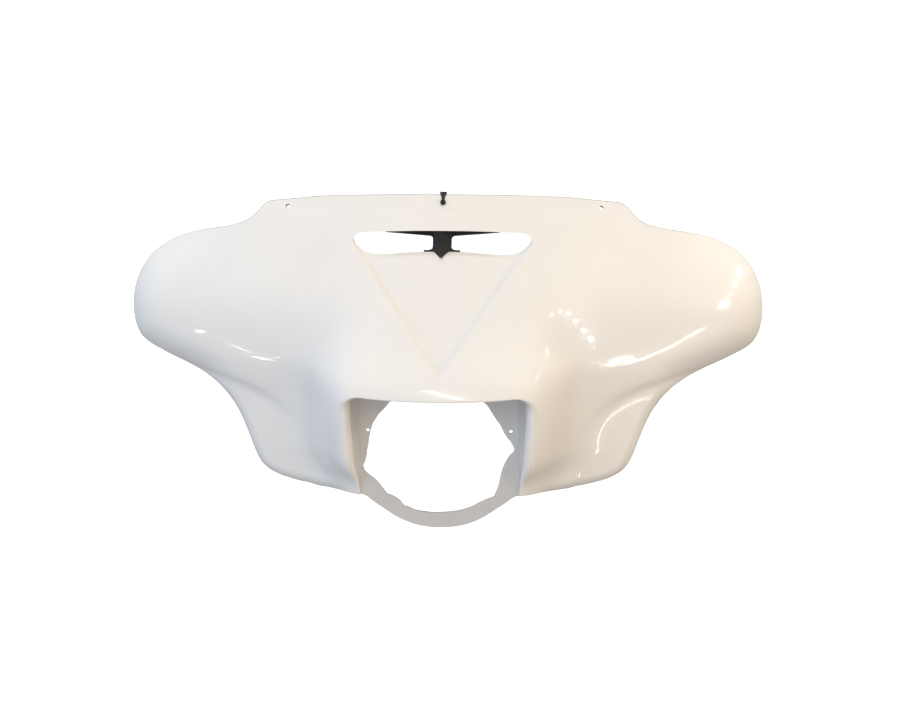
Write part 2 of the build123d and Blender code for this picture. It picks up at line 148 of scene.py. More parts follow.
def inside_loop(loop, x, z):
    a, b = loop, np.roll(loop, -1, 0)
    c = np.zeros(np.shape(x), int)
    for (xa, za), (xb, zb) in zip(a, b):
        if za == zb:
            continue
        c += ((za > z) != (zb > z)) & (x < (xb - xa) * (z - za) / (zb - za) + xa)
    return c % 2 == 1


def loop_distance(loop, x, z, far=70.0):
    """Unsigned distance to a closed loop; anything past `far` is only roughly measured."""
    p = np.stack([np.ravel(x), np.ravel(z)], -1)
    out = np.full(len(p), far * 2)
    coarse = loop[::6]
    for s in range(0, len(p), 4000):
        out[s:s + 4000] = np.sqrt(((p[s:s + 4000, None] - coarse[None]) ** 2).sum(-1).min(1))
    near = np.nonzero(out < far + 20.0)[0]
    a, ab = loop, np.roll(loop, -1, 0) - loop
    l2 = (ab * ab).sum(1)
    for s in range(0, len(near), 1500):
        i = near[s:s + 1500]
        d = p[i, None] - a[None]
        t = np.clip((d * ab).sum(-1) / l2, 0, 1)
        out[i] = np.sqrt(((d - ab * t[..., None]) ** 2).sum(-1).min(1))
    return out.reshape(np.shape(x))


def centre(z):
    return 0.735 * soft(z - 78.0, 11.0) + 9.0 * ease((z - 80.0) / 60.0) + 0.30 * soft(48.0 - z, 16.0) \
        + foot_depth * ease((-8.0 - z) / 58.0)


def skin(x, z):
    x, z = np.asarray(x, float), np.asarray(z, float)
    ax = np.abs(x)
    deck = centre(z) + ax * ax / crown_sweep
    half_w = flank_x + 0.006 * np.maximum(z - 140.0, 0.0) ** 2
    flank = centre(z) + 8.0 + (ax - half_w) * (1.55 + 0.5 * ease((130.0 - z) / 90.0))
    face = face_depth + face_sweep * ax * ax + (z - 185.0) ** 2 / 800.0
    fall = np.exp(-(np.minimum(ax, 420.0) - 157.0) / 71.0)
    slope = 122.0 / 71.0 * fall
    below = np.clip((88.0 - 122.0 * fall - z) / np.sqrt(1 + slope * slope), -80.0, 200.0)
    wing = smax(face, face + 1.9 * below, 12.0)
    leg = face_depth + face_sweep * ax * ax + leg_depth
    g = smax(deck, smin(flank, smin(wing, leg, 14.0), 40.0), 30.0)
    g = smin(g, 73.0 + 2.4 * soft(ax - 110.0, 3.0) + 6.0 * np.maximum(z + 20.0, 0.0), 4.0)
    inside_v = (ramp_slope * (z - ramp_apex_z) - ax) / np.hypot(1.0, ramp_slope)
    g = g + ramp_depth * ease(inside_v / ramp_bevel + 0.5) * (1 - ease((z - 244.0) / 18.0))
    step_z = 293.6 - 6.6 * (ax / 238.0) ** 2
    g = g + step_depth * ease((z - step_z) / 3.4 + 0.5) * (1 - ease((ax - 226.0) / 16.0))
    d = loop_distance(rim_loop, x, z)
    s = np.where(inside_loop(rim_loop, x, z), d, -d)
    up = ease((z - 40.0) / 55.0)
    amount = (rim_leg + (rim_wing - rim_leg) * up) * np.where(z > 150.0, ease((ax - 285.0) / 120.0), ease((ax - 118.0) / 30.0))
    reach = rim_leg_r + (rim_wing_r - rim_leg_r) * up
    q = np.clip(1.0 - s / reach, 0.0, None)
    roll = np.where(q < 1.2, q ** 2.2, 1.2 ** 2.2 + 2.2 * 1.2 ** 1.2 * (q - 1.2))
    return nose_y + g + amount * np.minimum(roll, 3.0)


def lifted(xz):
    """Points of the skin over (x, z), with their outward normals."""
    x, z = xz[:, 0], xz[:, 1]
    h = 0.7
    y = skin(x, z)
    gx = (skin(x + h, z) - skin(x - h, z)) / (2 * h)
    gz = (skin(x, z + h) - skin(x, z - h)) / (2 * h)
    n = np.stack([gx, -np.ones_like(gx), gz], -1)
    return np.stack([x, y, z], -1), n / np.linalg.norm(n, axis=1)[:, None]


# =====================================================================================================
# a mesh collected from patches, welded by position, with its own corner normals
# =====================================================================================================
class Sheet:
    def __init__(self):
        self.pos, self.nrm, self.tri, self.mat, self.count = [], [], [], [], 0

    def patch(self, pos, nrm, faces, mat):
        faces = np.asarray(faces, int)
        if faces.shape[1] == 4:
            faces = np.concatenate([faces[:, [0, 1, 2]], faces[:, [0, 2, 3]]])
        self.pos.append(np.asarray(pos, float))
        self.nrm.append(np.asarray(nrm, float))
        self.tri.append(faces + self.count)
        self.mat.append(np.full(len(faces), mat))
        self.count += len(pos)

    def grid(self, pos, mat, flip=False, closed=False):
        """A sheet of rows x columns points; normals from its own shape."""
        p = np.asarray(pos, float)
        r, c = p.shape[:2]
        du = np.gradient(p, axis=0)
        if closed:
            dv = (np.roll(p, -1, 1) - np.roll(p, 1, 1)) / 2
        else:
            dv = np.gradient(p, axis=1)
        n = np.cross(du, dv)
        n /= np.maximum(np.linalg.norm(n, axis=2), 1e-9)[..., None]
        ids = np.arange(r * c).reshape(r, c)
        nxt = np.roll(ids, -1, 1) if closed else ids[:, 1:]
        cur = ids if closed else ids[:, :-1]
        q = np.stack([cur[:-1], cur[1:], nxt[1:], nxt[:-1]], -1).reshape(-1, 4)
        if flip:
            n, q = -n, q[:, ::-1]
        self.patch(p.reshape(-1, 3), n.reshape(-1, 3), q, mat)

    def build(self, name, mats, weld=0.004):
        pos, nrm = np.concatenate(self.pos), np.concatenate(self.nrm)
        tri, mat = np.concatenate(self.tri), np.concatenate(self.mat)
        key = np.round(pos / weld).astype(np.int64)
        _, first, inv = np.unique(key, axis=0, return_index=True, return_inverse=True)
        inv = inv.reshape(-1)
        t = inv[tri]
        ok = (t[:, 0] != t[:, 1]) & (t[:, 1] != t[:, 2]) & (t[:, 0] != t[:, 2])
        t, tri, mat = t[ok], tri[ok], mat[ok]
        me = bpy.data.meshes.new(name)
        me.from_pydata((pos[first] * MM).tolist(), [], t.tolist())
        for m in mats:
            me.materials.append(m)
        me.polygons.foreach_set("material_index", mat.astype(np.int32))
        me.polygons.foreach_set("use_smooth", np.ones(len(t), bool))
        me.update()
        me.normals_split_custom_set(nrm[tri.reshape(-1)].tolist())
        me.update()
        ob = bpy.data.objects.new(name, me)
        bpy.context.scene.collection.objects.link(ob)
        return ob


# =====================================================================================================
# materials
# =====================================================================================================
def material(name):
    m = bpy.data.materials.new(name)
    m.use_nodes = True
    nt = m.node_tree
    return m, nt, nt.nodes["Principled BSDF"]


def noise(nt, scale, detail=3.0, rough=0.55):
    t = nt.nodes.new("ShaderNodeTexNoise")
    t.inputs["Scale"].default_value = scale
    t.inputs["Detail"].default_value = detail
    t.inputs["Roughness"].default_value = rough
    c = nt.nodes.new("ShaderNodeTexCoord")
    nt.links.new(c.outputs["Object"], t.inputs["Vector"])
    return t


def ramp(nt, src, stops):
    r = nt.nodes.new("ShaderNodeValToRGB")
    e = r.color_ramp.elements
    e[0].position, e[0].color = stops[0]
    e[1].position, e[1].color = stops[-1]
    for p, c in stops[1:-1]:
        k = e.new(p)
        k.color = c
    nt.links.new(src, r.inputs["Fac"])
    return r


def bump(nt, bsdf, src, strength, distance):
    b = nt.nodes.new("ShaderNodeBump")
    b.inputs["Strength"].default_value = strength
    b.inputs["Distance"].default_value = distance
    nt.links.new(src, b.inputs["Height"])
    nt.links.new(b.outputs["Normal"], bsdf.inputs["Normal"])
    return b


def grey(v, warm=0.0):
    return (v * (1 + warm), v, v * (1 - warm), 1.0)


def two_tone(name, a, b, scale, rough, rough_spread=0.05, metallic=0.0, coat=0.0, peel=None, spec=0.5):
    m, nt, s = material(name)
    n = noise(nt, scale)
    col = ramp(nt, n.outputs["Fac"], [(0.32, a), (0.68, b)])
    nt.links.new(col.outputs["Color"], s.inputs["Base Color"])
    n2 = noise(nt, scale * 3.1, 4.0)
    rr = ramp(nt, n2.outputs["Fac"], [(0.3, grey(rough - rough_spread)), (0.7, grey(rough + rough_spread))])
    nt.links.new(rr.outputs["Color"], s.inputs["Roughness"])
    s.inputs["Metallic"].default_value = metallic
    s.inputs["Specular IOR Level"].default_value = spec
    s.inputs["Coat Weight"].default_value = coat
    s.inputs["Coat Roughness"].default_value = 0.035
    if peel:
        p = noise(nt, peel[0], peel[3] if len(peel) > 3 else 1.5)
        bump(nt, s, p.outputs["Fac"], peel[1], peel[2])
    return m


paint = two_tone("white_gloss_paint", (0.80, 0.798, 0.79, 1), (0.825, 0.823, 0.815, 1), 9.0, 0.24, 0.03, coat=0.6,
                 peel=(420.0, 0.05, 0.0006))
raw = two_tone("unpainted_back", (0.60, 0.595, 0.57, 1), (0.68, 0.675, 0.65, 1), 26.0, 0.52, 0.06, peel=(900.0, 0.18, 0.0008, 3.0))
black = two_tone("black_vent_plastic", (0.012, 0.012, 0.013, 1), (0.022, 0.022, 0.023, 1), 60.0, 0.42, 0.06,
                 peel=(1600.0, 0.12, 0.0004, 2.0))
oxide = two_tone("dark_screw_steel", (0.030, 0.029, 0.028, 1), (0.075, 0.070, 0.064, 1), 700.0, 0.36, 0.08, metallic=0.85,
                 peel=(2600.0, 0.10, 0.0002))
spring = two_tone("spring_clip_steel", (0.055, 0.052, 0.048, 1), (0.11, 0.105, 0.10, 1), 500.0, 0.34, 0.07, metallic=0.9,
                  peel=(2200.0, 0.08, 0.0002))
brass = two_tone("brass_insert", (0.55, 0.40, 0.17, 1), (0.66, 0.49, 0.22, 1), 600.0, 0.30, 0.06, metallic=1.0,
                 peel=(2400.0, 0.10, 0.0002))
steel = two_tone("steel_screw", (0.42, 0.42, 0.43, 1), (0.56, 0.56, 0.57, 1), 600.0, 0.28, 0.06, metallic=1.0,
                 peel=(2400.0, 0.08, 0.0002))
# dark grey for trimmed edges and rims: the raw trimmed edge together with painted shade that draws a dark outline
edge_raw_and_shade = two_tone("trimmed_edge_and_painted_shade", (0.20, 0.195, 0.19, 1), (0.30, 0.295, 0.285, 1), 300.0, 0.6, 0.06, peel=(1500.0, 0.25, 0.0006, 3.0))
# near black for the walls of the small holes: painted shade inside the holes
hole_shade_black = two_tone("hole_wall_painted_shade", (0.020, 0.020, 0.020, 1), (0.035, 0.034, 0.033, 1), 300.0, 0.6, 0.05, peel=(1500.0, 0.2, 0.0005, 3.0))
# darker grey for the headlamp recess: painted shade of the deep recess under the brow
recess_shade_grey = two_tone("recess_painted_shade", (0.56, 0.56, 0.565, 1), (0.60, 0.60, 0.605, 1), 30.0, 0.38, 0.05, peel=(700.0, 0.08, 0.0006, 2.0))
PAINT, RAW, EDGE_SHADE, HOLE_SHADE, RECESS_SHADE = 0, 1, 2, 3, 4

# =====================================================================================================
# the shell
# =====================================================================================================
shell = Sheet()
low_x, low_z = rim_loop[:, 0], rim_loop[:, 1]
turn = int(np.argmax(low_x))
low_x, low_z = low_x[:turn + 1], low_z[:turn + 1]


def outline_z(x):
    return np.interp(np.abs(x), low_x, low_z)


def outline_out(x):
    """Outward direction, in the plane of the outline, along its lower edge."""
    x = np.asarray(x, float)
    dz = (outline_z(x + 1.5) - outline_z(x - 1.5)) / 3.0
    m = np.stack([dz, np.zeros_like(dz), -np.ones_like(dz)], -1)
    return m / np.linalg.norm(m, axis=-1)[..., None]


n_side, n_arc, n_top = 40, 12, 48
kinds = ([("l", t) for t in np.linspace(0, 1, n_side + 1)] + [("a", t) for t in np.linspace(0, 1, n_arc + 1)[1:-1]]
         + [("t", t) for t in np.linspace(0, 1, n_top + 1)] + [("b", t) for t in np.linspace(0, 1, n_arc + 1)[1:-1]]
         + [("r", t) for t in np.linspace(1, 0, n_side + 1)])
k_code = np.array([k for k, _ in kinds])
k_t = np.array([t for _, t in kinds])
n_tau = len(kinds)


def mouth(y, gx=0.0, gz=0.0, gr=0.0):
    """Points of the headlamp recess profile at depth y, grown by gx and gz with corners rounder by gr; each may differ from point to point."""
    y, gx, gz, gr = (np.broadcast_to(np.asarray(v, float), (n_tau,)) for v in (y, gx, gz, gr))
    w = plate_half_w - recess_flare * y + gx
    top = plate_top + recess_ceiling * y + gz
    r = recess_corner_r + 0.5 * (gx + gz) + gr
    zb = outline_z(w)
    x, z = np.zeros(n_tau), np.zeros(n_tau)
    for side, s in (("l", -1.0), ("r", 1.0)):
        m = k_code == side
        x[m] = s * w[m]
        z[m] = zb[m] + (top[m] - r[m] - zb[m]) * k_t[m]
    for side, s in (("a", -1.0), ("b", 1.0)):
        m = k_code == side
        a = np.pi / 2 * (k_t[m] if s < 0 else 1 - k_t[m])
        x[m], z[m] = s * (w[m] - r[m] + r[m] * np.cos(a)), top[m] - r[m] + r[m] * np.sin(a)
    m = k_code == "t"
    x[m], z[m] = (w[m] - r[m]) * (2 * k_t[m] - 1), top[m]
    return np.stack([x, y, z], -1)


def mouth_on_skin(gx, gz, gr=0.0):
    y = np.full(n_tau, -50.0)
    for _ in range(60):
        p = mouth(y, gx, gz, gr)
        y = 0.5 * y + 0.5 * skin(p[:, 0], p[:, 2])
    p = mouth(y, gx, gz, gr)
    p[:, 1] = skin(p[:, 0], p[:, 2])
    return p


def bezier(a, b, c, n):
    t = np.linspace(0, 1, n)[:, None, None]
    return (1 - t) ** 2 * a[None] + 2 * t * (1 - t) * b[None] + t * t * c[None]


def unit(v):
    return v / np.maximum(np.linalg.norm(v, axis=-1), 1e-9)[..., None]


# ---- mouth: skin edge, rounded lip, recess wall, rounded foot, plate
edge = mouth_on_skin(0.0, 0.0)
deep = np.clip(-edge[:, 1] / 45.0, 0.03, 1.0)               # the recess runs out towards its foot
brow = np.where(k_code == "t", 1.0, 0.0)                    # 1 along the brow, 0 at the sides, easing round the corners
brow[k_code == "a"] = ease(k_t[k_code == "a"])
brow[k_code == "b"] = ease(1 - k_t[k_code == "b"])
lip_in = (18.0 - 12.0 * brow) * deep
K = mouth_on_skin(18.0 * deep, 3.5 * deep, 9.0 * deep)
_, K_n = lifted(K[:, [0, 2]])
W = mouth(edge[:, 1] + lip_in)
foot_y = edge[:, 1] * (0.46 - 0.38 * brow)
Wf, Qc, Q = mouth(foot_y), mouth(0.0), mouth(0.0, -3.0, -3.0)
n_fil, n_wall, n_foot = 12, 12, 10
wall_rows = [mouth(W[:, 1] + (foot_y - W[:, 1]) * t) for t in np.linspace(0, 1, n_wall)]
inside = np.concatenate([bezier(K, edge, W, n_fil), np.array(wall_rows[1:]), bezier(Wf, Qc, Q, n_foot)[1:]])
n_rows = len(inside)


def grid_with_ends(sheet, p, mat, first=None, last=None, flip=False, closed=False):
    sheet.grid(p, mat, flip=flip, closed=closed)
    c = p.shape[1]
    if first is not None:
        sheet.nrm[-1][:c] = first
    if last is not None:
        sheet.nrm[-1][-c:] = last


grid_with_ends(shell, inside, PAINT, first=K_n, last=np.array([0.0, -1.0, 0.0]))
row_of = np.tile(np.arange((n_rows - 1) * (n_tau - 1)) // (n_tau - 1), 2)
shell.mat[-1][row_of >= n_fil - 1] = RECESS_SHADE                  # behind the lip the paint is greyed: painted shade of the deep recess under the brow

# ---- outside of the recess, seen from behind
grow = wall_t * 1.05
K_in = K - K_n * wall_t
ys = np.minimum(np.maximum(edge[:, 1] + lip_in + 3.0, K_in[:, 1] + 6.0), wall_t - 0.5)
Wo = mouth(ys, grow, grow)
ctrl = mouth(np.minimum(np.maximum(edge[:, 1] + 2.0, K_in[:, 1] + 1.0), wall_t - 1.0), grow, grow)
back_rows = [mouth(ys + (wall_t - ys) * t, grow, grow) for t in np.linspace(0, 1, n_rows - n_fil + 1)]
outside = np.concatenate([bezier(K_in, 0.5 * (ctrl + 0.5 * (K_in + Wo)), Wo, n_fil), np.array(back_rows[1:])])
grid_with_ends(shell, outside, RAW, first=-K_n, flip=True)
B = outside[-1]

# ---- half-round edges along the bottom of the recess walls and of the plate ring
n_half = 7


def round_edge(a, b, m, bulge=0.8):
    """Half-round strip from a to b, bulging along m."""
    f = np.linspace(0, np.pi, n_half)[None, :, None]
    return (a + b)[:, None] / 2 + (a - b)[:, None] / 2 * np.cos(f) + bulge * np.sin(f) * m[:, None]


shell.grid(round_edge(inside[:, 0], outside[:, 0], outline_out(inside[:, 0, 0])), PAINT, flip=True)
shell.grid(round_edge(inside[:, -1], outside[:, -1], outline_out(inside[:, -1, 0])), PAINT)
ring_s = np.linspace(-1, 1, 91)
ring_f = np.stack([Q[-1, 0] * ring_s, 0 * ring_s, outline_z(Q[-1, 0] * ring_s)], -1)
ring_b = np.stack([B[-1, 0] * ring_s, 0 * ring_s + wall_t, outline_z(B[-1, 0] * ring_s)], -1)
ring_f[0], ring_f[-1], ring_b[0], ring_b[-1] = Q[0], Q[-1], B[0], B[-1]
ring_rows = round_edge(ring_f, ring_b, outline_out(ring_f[:, 0]))
# the front half of the ring edge carries the painted shade of the recess
shell.grid(ring_rows[:, :2], RECESS_SHADE, flip=True)
# the back half of the ring edge is dark grey: raw edge and painted shade
shell.grid(ring_rows[:, 1:], EDGE_SHADE, flip=True)

# ---- outline of the skin, from the right foot of the mouth round to the left one
xk = K[-1, 0]
i0 = int(np.nonzero(low_x > xk + 0.8)[0][0])
n_rim = len(rim_loop)
rim = np.concatenate([K[-1:, [0, 2]], rim_loop[i0:n_rim - i0 + 1], K[:1, [0, 2]]])
rim_p, rim_n = lifted(rim)
rim_p[0], rim_p[-1], rim_n[0], rim_n[-1] = K[-1], K[0], K_n[-1], K_n[0]
run = np.gradient(rim, axis=0)
rim_m = unit(np.stack([run[:, 1], 0 * run[:, 0], -run[:, 0]], -1))
rim_m[0], rim_m[-1] = outline_out(K[-1:, 0])[0], outline_out(K[:1, 0])[0]
rim_rows = round_edge(rim_p, rim_p - rim_n * wall_t, rim_m, 1.2).transpose(1, 0, 2)
# the whole rim is dark grey: raw trimmed edge and painted shade along the outline
shell.grid(rim_rows, EDGE_SHADE)


def grown(loop, by):
    t = unit(np.roll(loop, -1, 0) - np.roll(loop, 1, 0))
    return loop + by * np.stack([t[:, 1], -t[:, 0]], -1)


# ---- vent slot with its turned-in lip
slot = closed_spline(mirrored(slot_half), 2.6)
lip_dir = np.array([0.0, 1.0, lip_rise]) / math.hypot(1.0, lip_rise)
slot_skin = grown(slot, 2.0)
Sk, Sk_n = lifted(slot_skin)
S, _ = lifted(slot)
So, _ = lifted(grown(slot, lip_t))
rows = list(bezier(Sk, S, S + lip_dir * 3.0, 7))
rows += [S + lip_dir * d for d in (4.5, 6.5, 8.5, lip_len - 0.6)]
mid = 0.5 * (S + So)
for f in np.linspace(0.15, 0.85, 5):
    side = -math.cos(f * math.pi)
    rows.append(mid + 0.5 * (So - S) * side + lip_dir * (lip_len - 0.6 + 0.6 * math.sin(f * math.pi)))
rows += [So + lip_dir * d for d in (lip_len - 0.6, 8.8, 7.2, 5.85)]
slot_rows = np.array(rows)
grid_with_ends(shell, slot_rows, PAINT, first=Sk_n, flip=True, closed=True)
slot_back = slot_rows[-1]

# ---- windshield holes, square to the flange
hole_loops = []
for hx, hz in shield_holes:
    (c,), (cn,) = lifted(np.array([[hx, hz]]))
    e1 = unit(np.cross(cn, [0.0, 1.0, 0.0]) if abs(cn[1]) < 0.99 else np.array([1.0, 0.0, 0.0]))
    e2 = np.cross(cn, e1)
    a = np.linspace(0, 2 * np.pi, 28, endpoint=False)[:, None]
    ring = c + shield_hole_r * (np.cos(a) * e1 + np.sin(a) * e2)
    xz = ring[:, [0, 2]]
    area = np.sum(xz[:, 0] * np.roll(xz[:, 1], -1) - np.roll(xz[:, 0], -1) * xz[:, 1])
    if area < 0:
        xz = xz[::-1]
    big = c[[0, 2]] + (xz - c[[0, 2]]) * 1.22
    p_big, n_big = lifted(big)
    p_hole, _ = lifted(xz)
    back_p = p_hole - cn * wall_t
    hole_loops.append((big, p_big - n_big * wall_t))
    strip = np.concatenate([bezier(p_big, p_hole, p_hole - cn * 0.7, 5),
                            np.array([p_hole - cn * 1.8, back_p + cn * 0.3, p_big - n_big * wall_t])])
    grid_with_ends(shell, strip[:3], PAINT, first=n_big, flip=True, closed=True)
    # the back part of the hole wall is near black: painted shade in the hole
    grid_with_ends(shell, strip[2:], HOLE_SHADE, last=-n_big, flip=True, closed=True)

# ---- the skin itself
step = 4.0
gx, gz = np.meshgrid(np.arange(-436, 436.1, step), np.arange(-110, 314.1, step))
gx = gx + (np.arange(gx.shape[0]) % 2)[:, None] * step / 2
gp = np.stack([gx.ravel(), gz.ravel()], -1)
outer = np.concatenate([rim, K[1:-1, [0, 2]]])
ok = inside_loop(outer, gp[:, 0], gp[:, 1])
gp = gp[ok]
gp = gp[loop_distance(outer, gp[:, 0], gp[:, 1]) > 2.0]
d_slot = loop_distance(slot_skin, gp[:, 0], gp[:, 1])
keep_off = np.where(gp[:, 1] > 262.0, 7.0, 3.0)
gp = gp[~inside_loop(slot_skin, gp[:, 0], gp[:, 1]) & (d_slot > keep_off)]
for big, _ in hole_loops:
    c = big.mean(0)
    gp = gp[np.linalg.norm(gp - c, axis=1) > shield_hole_r * 1.22 + 1.6]
rim2 = rim[1:-1]
# a second row close to the edge keeps the rolled rim smooth
inset = grown(rim_loop, -2.0)
inset = inset[np.abs(inset[:, 0]) > 135.0]
pts, loops = [], []


def add_loop(lp):
    start = sum(len(q) for q in pts)
    pts.append(lp)
    loops.append(list(range(start, start + len(lp))))


add_loop(outer)
add_loop(slot_skin)
for big, _ in hole_loops:
    add_loop(big)
pts.append(gp)
allp = np.concatenate(pts)


def cdt_exact(allp, loops):
    co = [Vector((float(x), float(z))) for x, z in allp]
    edges = [(i, j) for lp in loops for i, j in zip(lp, lp[1:] + lp[:1])]
    v, _, f, orig, _, _ = delaunay_2d_cdt(co, edges, [], 0, 1e-5, True)
    src = np.array([o[0] if len(o) else -1 for o in orig])
    xy = np.array([(a.x, a.y) for a in v])
    xy[src >= 0] = allp[src[src >= 0]]
    f = np.array([list(t) for t in f if len(t) == 3], int)
    a, b, c = xy[f[:, 0]], xy[f[:, 1]], xy[f[:, 2]]
    area = (b[:, 0] - a[:, 0]) * (c[:, 1] - a[:, 1]) - (b[:, 1] - a[:, 1]) * (c[:, 0] - a[:, 0])
    f[area < 0] = f[area < 0][:, ::-1]
    ok = np.abs(area) > 1e-7
    mid = (a + b + c)[ok] / 3
    f = f[ok]
    keep = inside_loop(allp[loops[0]], mid[:, 0], mid[:, 1])
    for lp in loops[1:]:
        keep &= ~inside_loop(allp[lp], mid[:, 0], mid[:, 1])
    return xy, f[keep], src


sk_xz, sk_f, sk_src = cdt_exact(allp, loops)
sk_p, sk_n = lifted(sk_xz)
sk_in = sk_p - sk_n * wall_t
where = {int(s): i for i, s in enumerate(sk_src) if s >= 0}
for j, i in enumerate(loops[0]):
    if j >= len(rim):
        sk_p[where[i]], sk_n[where[i]] = K[j - len(rim) + 1], K_n[j - len(rim) + 1]
        sk_in[where[i]] = K_in[j - len(rim) + 1]
    else:
        sk_p[where[i]], sk_n[where[i]] = rim_p[j], rim_n[j]
        sk_in[where[i]] = rim_p[j] - rim_n[j] * wall_t
for j, i in enumerate(loops[1]):
    sk_p[where[i]], sk_n[where[i]], sk_in[where[i]] = Sk[j], Sk_n[j], slot_back[j]
for lp, (big, back) in zip(loops[2:], hole_loops):
    pb, nb = lifted(big)
    for j, i in enumerate(lp):
        sk_p[where[i]], sk_n[where[i]], sk_in[where[i]] = pb[j], nb[j], back[j]
shell.patch(sk_p, sk_n, sk_f, PAINT)
shell.patch(sk_in, -sk_n, sk_f[:, ::-1], RAW)

# ---- the headlamp plate with its hand-cut opening
rng = np.random.default_rng(7)
cut = []
for a, b in zip(lamp_cut, lamp_cut[1:] + lamp_cut[:1]):
    a, b = np.array(a), np.array(b)
    c = max(2, int(round(np.linalg.norm(b - a) / 1.7)))
    for t in range(c):
        cut.append(a + (b - a) * t / c + (rng.normal(0, 0.16, 2) if t else 0))
cut = np.array(cut)


def circle(x, z, r, n=24):
    a = np.linspace(0, 2 * np.pi, n, endpoint=False)
    return np.stack([x + r * np.cos(a), z + r * np.sin(a)], -1)


scr_a, scr_b = np.array([58.0, -82.2]), np.array([68.2, -77.5])
scr_t = unit(scr_b - scr_a)
scr_m = np.array([-scr_t[1], scr_t[0]])
groove = np.concatenate([[scr_a], [scr_a + (scr_b - scr_a) * t - scr_m * 0.75 for t in (0.25, 0.5, 0.75)], [scr_b],
                         [scr_a + (scr_b - scr_a) * t + scr_m * 0.75 for t in (0.75, 0.5, 0.25)]])
holes = [cut, circle(lamp_screw_x, lamp_screw_z, lamp_screw_r), circle(-lamp_screw_x, lamp_screw_z, lamp_screw_r)]
dish = circle(dimple[0], dimple[1], dimple[2])
for border, y, n_y, extra in ((np.concatenate([Q[:, [0, 2]], ring_f[-2:0:-1, [0, 2]]]), 0.0, -1.0, [dish, groove]),
                              (np.concatenate([B[:, [0, 2]], ring_b[-2:0:-1, [0, 2]]]), wall_t, 1.0, [])):
    ps, lps = [], []
    for lp in [border] + holes + extra:
        s = sum(len(q) for q in ps)
        ps.append(lp)
        lps.append(list(range(s, s + len(lp))))
    mx, mz = np.meshgrid(np.arange(-104, 104.1, 6.0), np.arange(-110, 92.1, 6.0))
    mp = np.stack([mx.ravel(), mz.ravel()], -1)
    mp = mp[inside_loop(border, mp[:, 0], mp[:, 1])]
    for lp in [border] + holes + extra:
        mp = mp[loop_distance(lp, mp[:, 0], mp[:, 1]) > 2.0]
    for lp in holes + extra:
        mp = mp[~inside_loop(lp, mp[:, 0], mp[:, 1])]
    ps.append(mp)
    xz, f, _ = cdt_exact(np.concatenate(ps), lps)
    pos = np.stack([xz[:, 0], np.full(len(xz), y), xz[:, 1]], -1)
    nor = np.tile([0.0, n_y, 0.0], (len(xz), 1))
    # the plate front is greyed with painted shade of the recess; its back is unpainted
    shell.patch(pos, nor, f if n_y < 0 else f[:, ::-1], RECESS_SHADE if n_y < 0 else RAW)
for lp in holes:
    tube = np.stack([np.stack([lp[:, 0], np.full(len(lp), y), lp[:, 1]], -1) for y in (0.0, 0.9, 1.8, wall_t)])
    if lp is cut:
        tube[1:3, :, [0, 2]] += rng.normal(0, 0.10, (2, len(lp), 2))
    # the hand-cut opening's wall is dark grey (raw edge and painted shade); the screw holes' walls are near-black
    # painted shade
    shell.grid(tube, EDGE_SHADE if lp is cut else HOLE_SHADE, flip=True, closed=True)


def bowl(loop, depth, mat):
    """Closes a loop of the plate with a shallow dished bottom."""
    c = loop.mean(0)
    rows = []
    for s, d in ((1.0, 0.0), (0.82, 0.55), (0.5, 0.9), (0.12, 1.0)):
        q = c + (loop - c) * s
        rows.append(np.stack([q[:, 0], np.full(len(q), depth * d), q[:, 1]], -1))
    shell.grid(np.array(rows), mat, flip=True, closed=True)
    n = len(loop)
    shell.patch(np.concatenate([rows[-1], [[c[0], depth, c[1]]]]), np.tile([0.0, -1.0, 0.0], (n + 1, 1)),
                [(i, (i + 1) % n, n) for i in range(n)], mat)


bowl(dish, dimple[3], RECESS_SHADE)
g_n = len(groove)
gc = np.array([scr_a + (scr_b - scr_a) * t for t in (0.25, 0.5, 0.75)])
gpos = np.concatenate([np.stack([groove[:, 0], np.zeros(g_n), groove[:, 1]], -1), np.stack([gc[:, 0], np.full(3, 0.5), gc[:, 1]], -1)])
g_f = [(0, 1, 8), (1, 2, 9), (1, 9, 8), (2, 3, 10), (2, 10, 9), (3, 4, 10), (4, 5, 10), (5, 6, 9), (5, 9, 10), (6, 7, 8), (6, 8, 9), (7, 0, 8)]
shell.patch(gpos, np.tile([0.0, -1.0, 0.0], (len(gpos), 1)), g_f, RECESS_SHADE)


# ---- posts on the back, with the holes for the inserts and the divider screws
def post(base, axis, end, r, hole_r, hole_deep, base_at, mat=RAW, n=36):
    axis = np.array(axis, float)
    e1 = unit(np.cross(axis, [1.0, 0.0, 0.0]))
    e2 = np.cross(axis, e1)
    a = np.linspace(0, 2 * np.pi, n, endpoint=False)[:, None]
    circ = np.cos(a) * e1 + np.sin(a) * e2
    base = np.array(base, float)
    foot = base + r * circ
    foot = foot + axis * base_at(foot)[:, None]
    tip = base + axis * end
    rows = [foot, tip - axis * 0.8 + r * circ, tip - axis * 0.25 + (r - 0.25) * circ, tip + (r - 0.8) * circ,
            tip + (hole_r + 0.3) * circ, tip - axis * 0.3 + hole_r * circ, tip - axis * hole_deep + hole_r * circ,
            tip - axis * hole_deep + 0.05 * circ]
    rows = [np.broadcast_to(q, (n, 3)) for q in rows]
    probe = Sheet()
    probe.grid(np.array(rows), mat, closed=True)
    # face the side outwards
    flip = np.sum(probe.nrm[-1][n:2 * n] * circ) < 0
    for q0, q1 in zip(rows[:-1], rows[1:]):
        shell.grid(np.array([q0, q1]), mat, closed=True, flip=flip)
    ids = [(i, (i + 1) % n, n) for i in range(n)]
    shell.patch(np.concatenate([rows[-1], [tip - axis * hole_deep]]), np.tile(axis, (n + 1, 1)), ids if not flip else [t[::-1] for t in ids], mat)
    shell.patch(np.concatenate([foot, [foot.mean(0)]]), np.tile(-axis, (n + 1, 1)), [t[::-1] for t in ids] if not flip else ids, mat)


